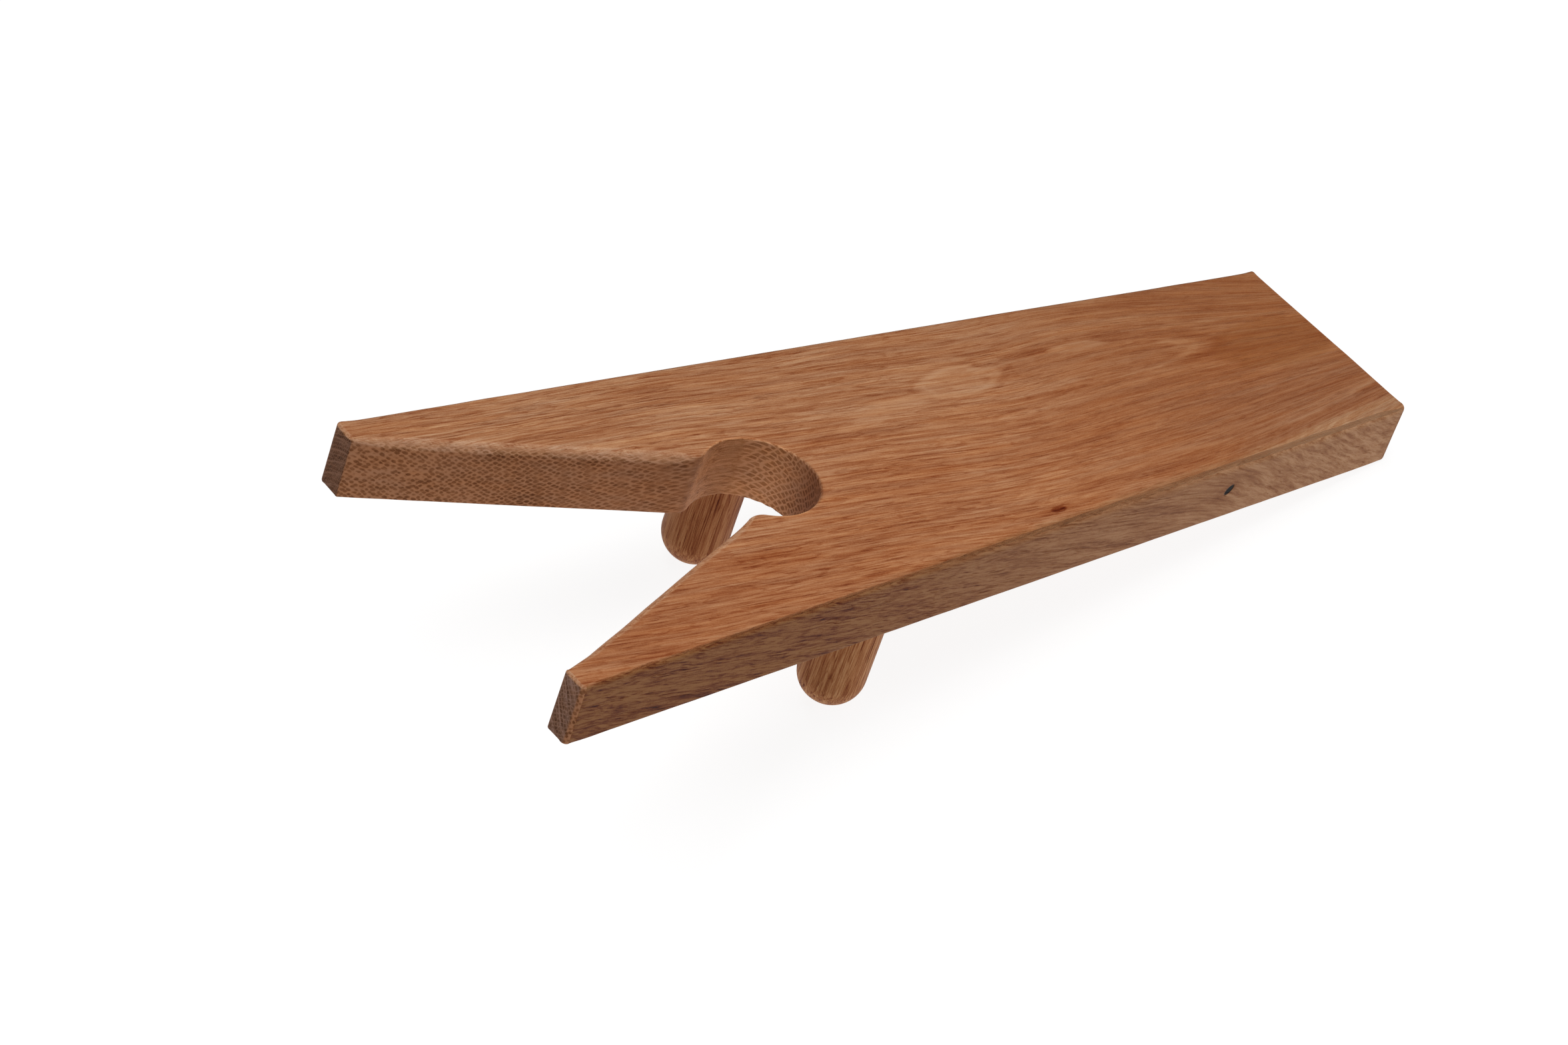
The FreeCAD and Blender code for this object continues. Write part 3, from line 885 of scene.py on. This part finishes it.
    # Painted shade: the hole's rear is tinted towards a darker copy of its colour, darkest on its
    # near side.
    shaded = g.rise(12.0, -6.0, y) * g.rise(112.0, 124.0, x)
    base = g.tint(base, g.tint(BORE, BORE_PAINTED_SHADE, shaded), bore)
    base = g.tint(base, g.tint(TIP_NEAR, TIP_FAR, g.rise(-40.0, 40.0, y)), tip)
    gain = gain + tip * (line * 0.5 - early * 0.12)

    # The eased edge of the mouth is sanded pale and given a painted highlight, with slanting
    # scratches and torn pricks; all eased edges get a slight painted highlight.
    eased = g.rise(0.02, 0.22, nz) * g.rise(0.998, 0.96, nz)
    mouth = g.rise(0.10, 0.30, endness / g.most(g.root(nx * nx + ny * ny), 0.05)) * (1.0 - bore)
    along_wall = x * 0.93 - g.size(y) * 0.367 + (z - THICKNESS) * 1.3
    scratch = g.noise(g.vector(along_wall / 0.8, z / 3.0, y / 9.0), 2.0) - 0.5
    gain = g.blend(gain, 1.0 + (gain - 1.0) * 0.75, eased * mouth)
    # Painted highlight: every eased edge is lightened a little, the mouth's more, with its
    # scratches.
    gain = gain + eased * (0.03 + mouth * (scratch * 0.35))
    base = g.tint(base, EASED_PALE_AND_HIGHLIGHT, eased * mouth * 0.8)
    pricks = g.noise(g.vector(along_wall / 0.5, y / 9.0, z / 9.0), 1.0)
    gain = gain - mouth * g.bell((nz - 0.16) / 0.09) * g.rise(0.48, 0.58, pricks) * 0.25

    # Short dashes stand out on the near side.
    level_z = z + dive_near * 1.05
    dash = g.cells(g.vector(x / 5.0, level_z / 0.62, y / 8.0))
    fleck = g.noise(g.vector(x / 2.6, level_z / 0.5, y / 8.0), 1.0)
    marked = (1.04 + (gain - 1.0)
              + (0.01 - g.rise(0.42, 0.20, dash) * 0.20 + (fleck - 0.5) * 0.36)
              * (1.0 - soft_side * 0.7))
    marked = 1.0 + (marked - 1.0) * g.blend(1.60, 1.05, g.rise(90.0, 170.0, x))
    gain = g.blend(gain, marked, side)

    # A pin knot in the upper face and a black one in the near side.
    halo = g.rise(1.6, 0.2, g.oval(fx, fy, *PIN_HALO)) * top
    heart = g.rise(1.5, 0.5, g.oval(x + wave * 1.5, y, *PIN_HEART)) * top
    gain = gain - halo * 0.16 - heart * 0.42
    near_face = g.rise(-30.0, -36.0, y) * g.rise(0.3, 0.7, g.size(ny))
    dusk = g.most(g.rise(1.8, 0.2, g.oval(fx, z + wave * 4.0, *SIDE_DUSK)),
                  g.rise(1.6, 0.3, g.oval(fx, z, *SIDE_SHADE)) * 0.7) * near_face
    stain = g.rise(1.8, 0.2, g.oval(x, z + ripple, *SIDE_STAIN)) * near_face
    gain = gain - dusk * 0.13 - stain * 0.18
    black = g.rise(1.4, 0.6, g.oval(x, z + ripple, *SIDE_KNOT)) * near_face

    grey = (g.noise(g.vector(x / 36.0, yy / 3.0, z / 3.0), 2.0) - 0.5) * (1.0 - side * 0.8)
    depth = g.most(top, side * g.blend(0.9, 0.45, g.rise(90.0, 200.0, x)))
    colour = g.tint(g.shade(base, gain, grey, depth), KNOT, black)
    return finish_material(g, colour, rough, height - heart * 0.1 - black * 0.35)


def dowel_material(name, side):
    g = Graph(name)
    (x, y, z), (_, _, nz) = board_coordinates(g)
    radial = x - LEG_X + 40.0
    across = y - side * LEG_Y
    swell = (g.noise(g.vector(z / 60.0, x / 9.0, y / 9.0), 1.0) - 0.5) * 3.0
    _, early = ring_bands(g, (radial * 0.8 + across * 0.6 * side + swell) / DOWEL_RING_SPACING)
    gain, rough, height = oak(g, z, across, radial, g.size(nz) * 0.16, early,
                              seed=side * 23.0, boldness=1.6, fine=1.6)
    gain = 1.06 + (gain - 1.0) - early * 0.22
    colour = g.shade(g.tint(DOWEL_NEAR, DOWEL_FAR, (side + 1) / 2), gain)
    return finish_material(g, colour, rough, height)


# ---------------------------------------------------------------------------- pieces

board = add_piece("tread_board", *board_mesh(), board_material())
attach(board, "root")
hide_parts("board")

for name, node, side in (("dowel_left", "leg_left", -1), ("dowel_right", "leg_right", 1)):
    leg = add_piece(name, *leg_mesh(side), dowel_material(name + "_oak", side))
    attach(leg, "root")
    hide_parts(node)


# -------------------------------------------------------------------- floor and light

FLOOR_HALF = 4.0
FLOOR_COLOUR = (0.15, 0.15, 0.15, 1.0)
FLOOR_GLOW = 0.895       # with the lights on it, brings the floor to the photograph's white
SKY_STRENGTH = 0.90
WHITE = (1.0, 1.0, 1.0, 1.0)


def add_floor():
    g = Graph("studio_floor")
    shader = g.node("ShaderNodeBsdfPrincipled")
    shader.inputs["Base Color"].default_value = FLOOR_COLOUR
    shader.inputs["Roughness"].default_value = 0.9
    shader.inputs["Specular IOR Level"].default_value = 0.1
    shader.inputs["Emission Color"].default_value = WHITE
    shader.inputs["Emission Strength"].default_value = FLOOR_GLOW
    out = g.node("ShaderNodeOutputMaterial")
    g.tree.links.new(shader.outputs[0], out.inputs["Surface"])
    mesh = bpy.data.meshes.new("studio_floor")
    half = FLOOR_HALF
    mesh.from_pydata([(-half, -half, 0), (half, -half, 0), (half, half, 0), (-half, half, 0)],
                     [], [(0, 1, 2, 3)])
    mesh.materials.append(g.material)
    floor = bpy.data.objects.new("studio_floor", mesh)
    bpy.context.scene.collection.objects.link(floor)


def add_softbox(name, place, target, width, height, power):
    """A rectangular light in metres and watts that faces its target."""
    light = bpy.data.lights.new(name, "AREA")
    light.shape = "RECTANGLE"
    light.size, light.size_y = width, height
    light.energy = power
    lamp = bpy.data.objects.new(name, light)
    lamp.location = place
    lamp.rotation_euler = (Vector(target) - Vector(place)).to_track_quat("-Z", "Y").to_euler()
    bpy.context.scene.collection.objects.link(lamp)


def add_studio():
    world = bpy.data.worlds.new("studio")
    bpy.context.scene.world = world
    world.use_nodes = True
    sky = world.node_tree.nodes["Background"]
    sky.inputs["Color"].default_value = WHITE
    sky.inputs["Strength"].default_value = SKY_STRENGTH
    world.cycles_visibility.diffuse = False
    world.cycles_visibility.glossy = False
    add_softbox("overhead_softbox", (-0.1, 0.15, 1.3), (0.0, 0.0, 0.05), 1.4, 1.2, 23.2)
    add_softbox("side_softbox", (0.75, -0.75, 0.45), (0.1, 0.0, 0.05), 0.7, 0.5, 3.5)
    bpy.context.scene.view_settings.view_transform = "Standard"


# The camera's place in metres, two of its axes and its lens in millimetres.
CAMERA_PLACE = (-0.77760, -0.74375, 0.98190)
CAMERA_RIGHT = (0.78966296, -0.59769413, 0.13854294)
CAMERA_UP = (0.32758871, 0.60166353, 0.72848242)
LENS = 110.609


def add_camera():
    """A long lens before the near prong, rolled as the photograph is."""
    data = bpy.data.cameras.new("photo_camera")
    data.lens = LENS
    data.sensor_width = 36.0
    data.sensor_fit = "HORIZONTAL"
    camera = bpy.data.objects.new("photo_camera", data)
    right, up = Vector(CAMERA_RIGHT), Vector(CAMERA_UP)
    turn = Matrix((right, up, right.cross(up))).transposed().to_4x4()
    camera.matrix_world = Matrix.Translation(CAMERA_PLACE) @ turn
    bpy.context.scene.collection.objects.link(camera)
    bpy.context.scene.camera = camera


add_floor()
add_studio()
add_camera()
